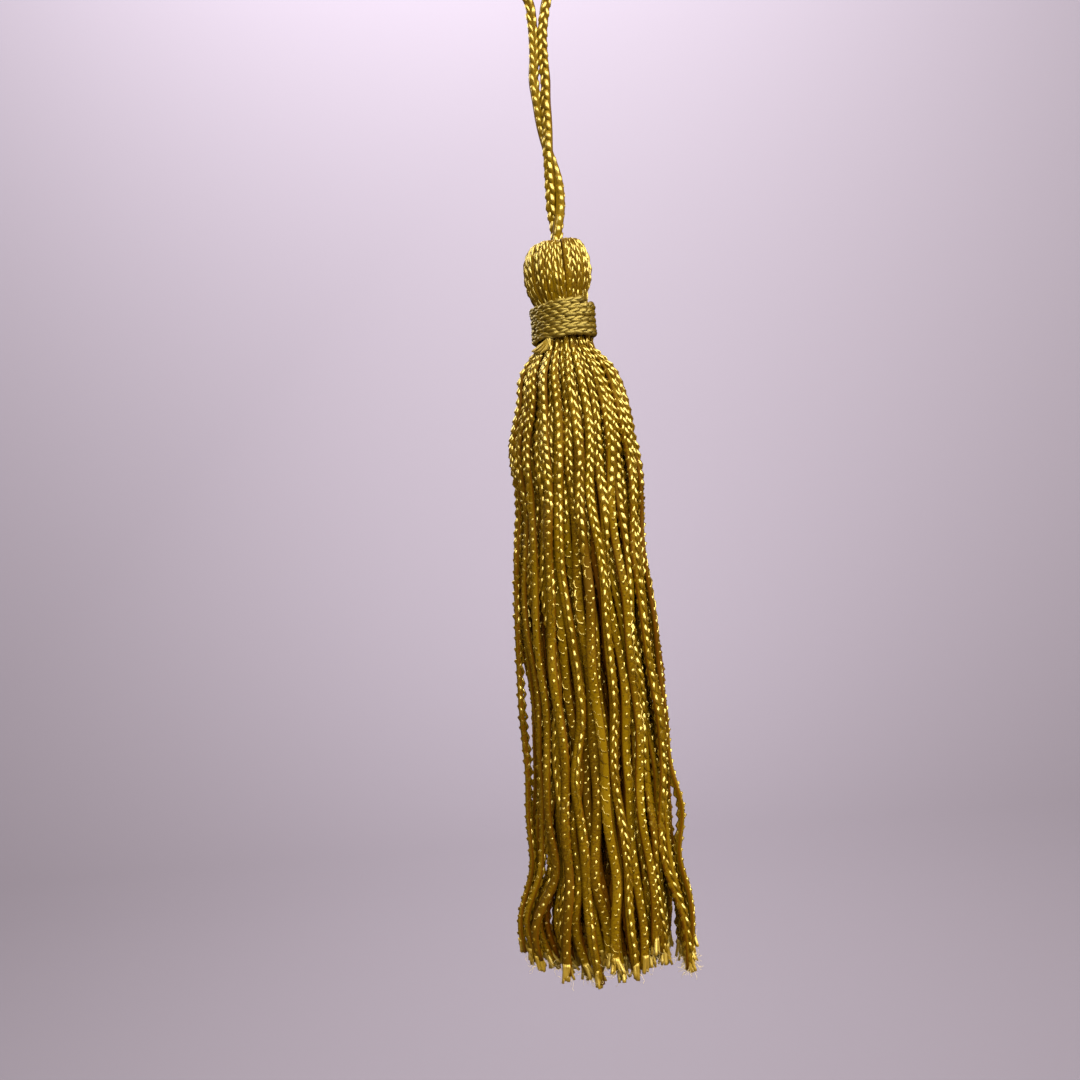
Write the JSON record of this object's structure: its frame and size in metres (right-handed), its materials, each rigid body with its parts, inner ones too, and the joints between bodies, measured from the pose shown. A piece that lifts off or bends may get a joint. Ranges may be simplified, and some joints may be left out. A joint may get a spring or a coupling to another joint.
{
  "type": "silk tassel",
  "caption": "Hanging silk tassel: knitted chain strands folded into a round head, bound at the neck, with a long skirt of cut ends and a doubled hanging loop.",
  "frame": {"origin": "the bearing point of the hanging loop: the inner side of its rounded top, where a hook, peg or finger carries the tassel", "axes": "the tassel hangs plumb along -Z; -Y is the front that was seen; +X is to the right of that front"},
  "size_m": [0.0324, 0.0237, 0.1952],
  "materials": {
    "skirt_yarn": "lustrous olive-gold knitted silk chain",
    "binding_cord": "lustrous pale gold knitted silk chain",
    "loop_cord": "lustrous gold knitted silk chain"
  },
  "bodies": {
    "root": {"silk_bundle": "skirt_yarn", "neck_binding": "binding_cord", "hanging_loop": "loop_cord"}
  },
  "joints": []
}
